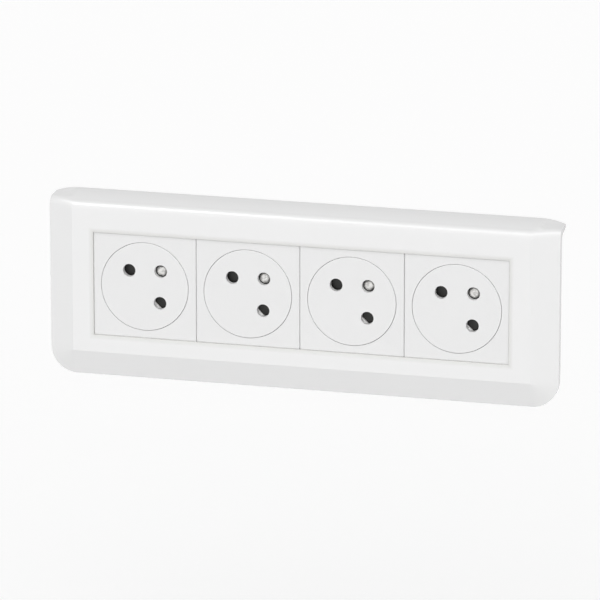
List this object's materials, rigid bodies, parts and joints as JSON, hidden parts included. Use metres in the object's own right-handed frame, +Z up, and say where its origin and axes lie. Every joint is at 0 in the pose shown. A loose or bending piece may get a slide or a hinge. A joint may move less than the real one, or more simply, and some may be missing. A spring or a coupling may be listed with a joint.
{
  "type": "quad wall socket",
  "caption": "Row of flush wall sockets with an earth pin and retracting discs in a rimmed white plate, screwed over a wall box.",
  "frame": {"origin": "on the wall plane, behind the middle of the row of sockets and of the fixing screws", "axes": "+X along the row to the right, +Y into the wall, +Z up"},
  "size_m": [0.2206, 0.039, 0.0787],
  "materials": {
    "plate": "moulded, satin gloss",
    "insert": "moulded, satin",
    "disc": "moulded, satin",
    "shutter": "moulded",
    "shutter_cover": "moulded",
    "housing": "moulded",
    "frame": "moulded",
    "pin": "nickel plated",
    "contact": "stamped",
    "spring": "drawn wire",
    "screw": "zinc plated"
  },
  "bodies": {
    "base": {"plate": "plate", "support_frame": "frame", "fixing_screws": "screw", "face_1": "insert", "well_body_1": "housing", "rear_cover_1": "housing", "earth_pin_1": "pin", "earth_strap_1": "contact", "live_contact_1": "contact", "neutral_contact_1": "contact", "terminal_screws_1": "screw", "face_2": "insert", "well_body_2": "housing", "rear_cover_2": "housing", "earth_pin_2": "pin", "earth_strap_2": "contact", "live_contact_2": "contact", "neutral_contact_2": "contact", "terminal_screws_2": "screw", "face_3": "insert", "well_body_3": "housing", "rear_cover_3": "housing", "earth_pin_3": "pin", "earth_strap_3": "contact", "live_contact_3": "contact", "neutral_contact_3": "contact", "terminal_screws_3": "screw", "face_4": "insert", "well_body_4": "housing", "rear_cover_4": "housing", "earth_pin_4": "pin", "earth_strap_4": "contact", "live_contact_4": "contact", "neutral_contact_4": "contact", "terminal_screws_4": "screw"},
    "disc_1": {"disc_1": "disc", "shutter_cover_1": "shutter_cover", "disc_spring_1": "spring", "shutter_springs_1": "spring"},
    "shutter_1": {"shutter_1": "shutter"},
    "disc_2": {"disc_2": "disc", "shutter_cover_2": "shutter_cover", "disc_spring_2": "spring", "shutter_springs_2": "spring"},
    "shutter_2": {"shutter_2": "shutter"},
    "disc_3": {"disc_3": "disc", "shutter_cover_3": "shutter_cover", "disc_spring_3": "spring", "shutter_springs_3": "spring"},
    "shutter_3": {"shutter_3": "shutter"},
    "disc_4": {"disc_4": "disc", "shutter_cover_4": "shutter_cover", "disc_spring_4": "spring", "shutter_springs_4": "spring"},
    "shutter_4": {"shutter_4": "shutter"}
  },
  "joints": [
    {"name": "disc_slide_1", "type": "slide", "parent": "base", "child": "disc_1", "axis": [0, 1, 0], "range_m": [0, 0.0135], "stiffness_N_per_m": 450, "springref_m": -0.006, "deforming": ["disc_spring_1"]},
    {"name": "shutter_slide_1", "type": "slide", "parent": "disc_1", "child": "shutter_1", "axis": [0.7071, 0, 0.7071], "range_m": [0, 0.0058], "stiffness_N_per_m": 60, "springref_m": -0.003, "deforming": ["shutter_springs_1"]},
    {"name": "disc_slide_2", "type": "slide", "parent": "base", "child": "disc_2", "axis": [0, 1, 0], "range_m": [0, 0.0135], "stiffness_N_per_m": 450, "springref_m": -0.006, "deforming": ["disc_spring_2"]},
    {"name": "shutter_slide_2", "type": "slide", "parent": "disc_2", "child": "shutter_2", "axis": [0.7071, 0, 0.7071], "range_m": [0, 0.0058], "stiffness_N_per_m": 60, "springref_m": -0.003, "deforming": ["shutter_springs_2"]},
    {"name": "disc_slide_3", "type": "slide", "parent": "base", "child": "disc_3", "axis": [0, 1, 0], "range_m": [0, 0.0135], "stiffness_N_per_m": 450, "springref_m": -0.006, "deforming": ["disc_spring_3"]},
    {"name": "shutter_slide_3", "type": "slide", "parent": "disc_3", "child": "shutter_3", "axis": [0.7071, 0, 0.7071], "range_m": [0, 0.0058], "stiffness_N_per_m": 60, "springref_m": -0.003, "deforming": ["shutter_springs_3"]},
    {"name": "disc_slide_4", "type": "slide", "parent": "base", "child": "disc_4", "axis": [0, 1, 0], "range_m": [0, 0.0135], "stiffness_N_per_m": 450, "springref_m": -0.006, "deforming": ["disc_spring_4"]},
    {"name": "shutter_slide_4", "type": "slide", "parent": "disc_4", "child": "shutter_4", "axis": [0.7071, 0, 0.7071], "range_m": [0, 0.0058], "stiffness_N_per_m": 60, "springref_m": -0.003, "deforming": ["shutter_springs_4"]}
  ]
}
